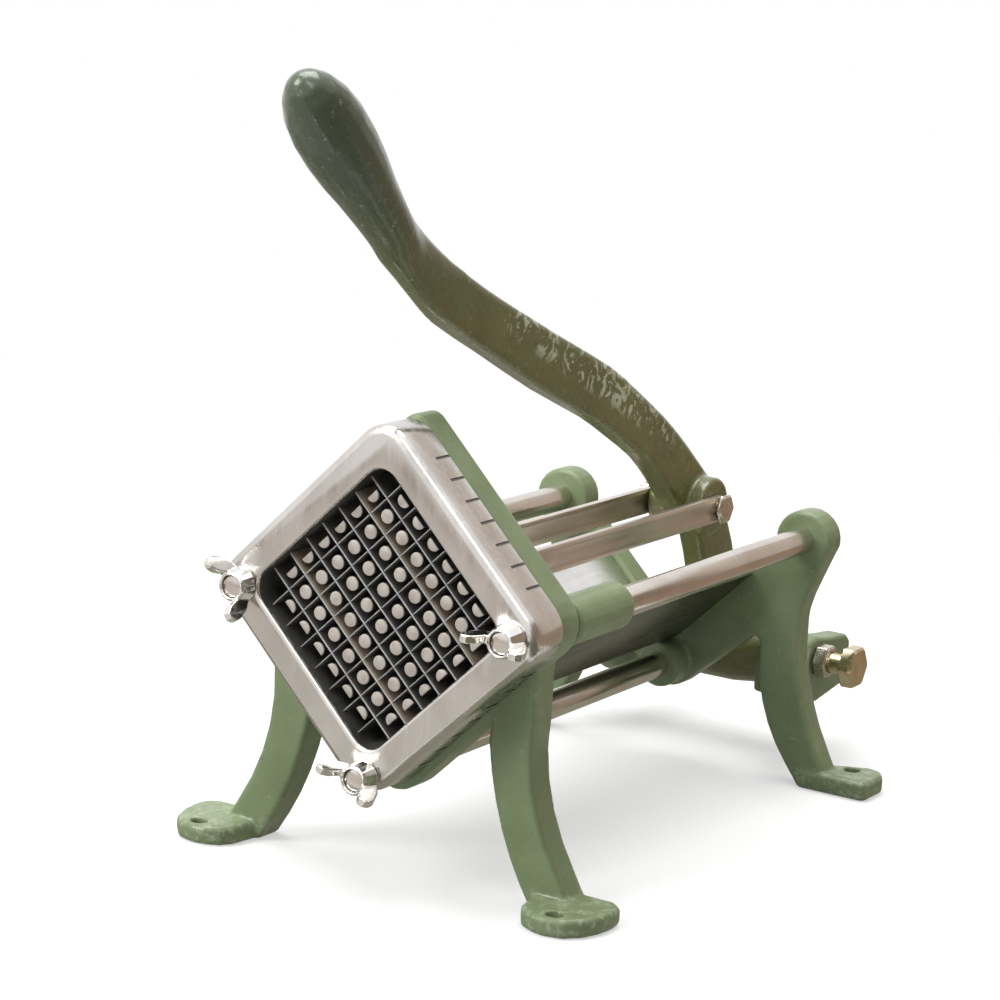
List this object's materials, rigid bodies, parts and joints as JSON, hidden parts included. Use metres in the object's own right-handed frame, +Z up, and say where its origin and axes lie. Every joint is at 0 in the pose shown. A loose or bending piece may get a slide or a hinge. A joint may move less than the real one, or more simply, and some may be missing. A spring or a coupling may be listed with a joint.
{
  "type": "french fry cutter",
  "caption": "Hand lever press with four splayed feet that pushes a potato along a V trough and through a square grid of blades standing on its corner.",
  "frame": {"origin": "under the middle of the whole machine at rest, on the plane that its four feet stand on", "axes": "+X to the operator's right when facing the blade frame from behind the lever's grip, +Y from the blade frame to the lever's pivot, +Z up"},
  "size_m": [0.192, 0.3714, 0.2978],
  "materials": {
    "green_paint": "grey-green enamel over a casting",
    "polished_alloy": "polished cast alloy",
    "chrome_steel": "bright plated steel",
    "ground_steel": "ground steel",
    "sheet_steel": "bright sheet steel",
    "plated_zinc": "yellow zinc plate"
  },
  "bodies": {
    "stand": {"front_casting": "green_paint", "rear_casting": "green_paint", "guide_rod_left": "chrome_steel", "guide_rod_right": "chrome_steel", "guide_rod_bottom": "chrome_steel", "potato_trough": "sheet_steel", "blade_frame": "polished_alloy", "blade_a1": "ground_steel", "blade_a2": "ground_steel", "blade_a3": "ground_steel", "blade_a4": "ground_steel", "blade_a5": "ground_steel", "blade_a6": "ground_steel", "blade_a7": "ground_steel", "blade_b1": "ground_steel", "blade_b2": "ground_steel", "blade_b3": "ground_steel", "blade_b4": "ground_steel", "blade_b5": "ground_steel", "blade_b6": "ground_steel", "blade_b7": "ground_steel", "pivot_screw_left": "plated_zinc", "pivot_screw_right": "plated_zinc", "jam_nut_left": "plated_zinc", "jam_nut_right": "plated_zinc"},
    "lever": {"lever": "green_paint"},
    "link": {"link_bar_left": "chrome_steel", "link_bar_right": "chrome_steel", "link_bolt": "ground_steel", "link_nut": "ground_steel", "bar_screw_left": "ground_steel", "bar_screw_right": "ground_steel"},
    "carriage": {"carriage": "green_paint", "push_block": "polished_alloy", "carriage_pin": "ground_steel", "block_screw_1": "ground_steel", "block_screw_2": "ground_steel", "block_screw_3": "ground_steel", "block_screw_4": "ground_steel"},
    "nut_left": {"wing_nut_left": "chrome_steel"},
    "nut_right": {"wing_nut_right": "chrome_steel"},
    "nut_bottom": {"wing_nut_bottom": "chrome_steel"}
  },
  "joints": [
    {"name": "lever_swing", "type": "hinge", "parent": "stand", "child": "lever", "pos_m": [0, 0.15265, 0.043], "axis": [-1, 0, 0], "range_deg": [0, 85]},
    {"name": "link_swing", "type": "hinge", "parent": "lever", "child": "link", "pos_m": [0, 0.11365, 0.11], "axis": [-1, 0, 0], "range_deg": [-78, 0]},
    {"name": "carriage_slide", "type": "slide", "parent": "stand", "child": "carriage", "axis": [0, 1, 0], "range_m": [0, 0.1045]},
    {"name": "left_nut_turn", "type": "hinge", "parent": "stand", "child": "nut_left", "pos_m": [-0.0577, -0.12735, 0.1042], "axis": [0, -1, 0], "continuous": true},
    {"name": "right_nut_turn", "type": "hinge", "parent": "stand", "child": "nut_right", "pos_m": [0.0577, -0.12735, 0.1042], "axis": [0, -1, 0], "continuous": true},
    {"name": "bottom_nut_turn", "type": "hinge", "parent": "stand", "child": "nut_bottom", "pos_m": [0, -0.12735, 0.0426], "axis": [0, -1, 0], "continuous": true}
  ],
  "couplings": [
    {"joint": "link_swing", "follows": "lever_swing", "ratio": -0.91181},
    {"joint": "carriage_slide", "follows": "lever_swing", "m_per_rad": 0.069973}
  ]
}
